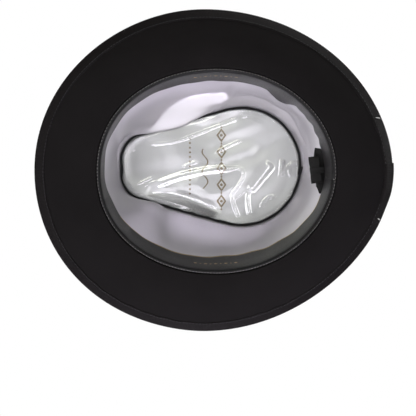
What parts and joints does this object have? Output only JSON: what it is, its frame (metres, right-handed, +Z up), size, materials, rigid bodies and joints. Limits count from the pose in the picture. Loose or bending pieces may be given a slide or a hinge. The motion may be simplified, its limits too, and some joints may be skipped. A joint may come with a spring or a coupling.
{
  "type": "felt hat",
  "caption": "Black felt dress hat with a teardrop crown, rolled ribbon-bound brim, ribbon band with flat side bow, leather sweatband and satin lining with a clear tip protector.",
  "frame": {"origin": "middle of the head opening, on the plane of the brim's flat ring that the hat stands on", "axes": "+Z up through the crown as worn, -Y to the front of the brim, +Y to the back, +X to the wearer's left"},
  "size_m": [0.277, 0.3095, 0.1194],
  "materials": {
    "felt": "matte brushed wool felt, near black",
    "grosgrain": "ribbed rayon grosgrain ribbon, black",
    "binding": "ribbed ribbon folded over the brim's edge, black",
    "dark_thread": "black sewing thread",
    "light_thread": "off-white sewing thread",
    "grey_thread": "light grey sewing thread",
    "leather": "charcoal skiver leather, low sheen",
    "reed": "translucent plastic reed",
    "gilt": "gilt line and foil, slightly worn",
    "satin_side": "lilac-grey satin",
    "satin_tip": "silver-white satin",
    "piping": "black corded piping",
    "clear_vinyl": "clear glossy vinyl film"
  },
  "bodies": {
    "root": {"felt_body": "felt", "brim_binding": "binding", "binding_stitches": "dark_thread", "binding_tacks": "light_thread", "hatband": "grosgrain", "hatband_bow_front_loop": "grosgrain", "hatband_bow_back_loop": "grosgrain", "hatband_bow_tail": "grosgrain", "hatband_bow_wrap": "grosgrain", "hatband_tacks": "dark_thread", "sweatband": "leather", "sweatband_reed": "reed", "sweatband_stitching": "grey_thread", "sweatband_gilt_edge": "gilt", "sweatband_foil_marks": "gilt", "sweatband_joint_tape": "grosgrain", "sweatband_seam_stitches": "light_thread", "sweatband_bow_loop": "grosgrain", "sweatband_bow_tails": "grosgrain", "sweatband_bow_knot": "grosgrain", "lining_side": "satin_side", "lining_tip": "satin_tip", "tip_piping": "piping", "tip_protector": "clear_vinyl", "tip_emblem": "gilt", "lining_tacks": "light_thread"}
  },
  "joints": []
}
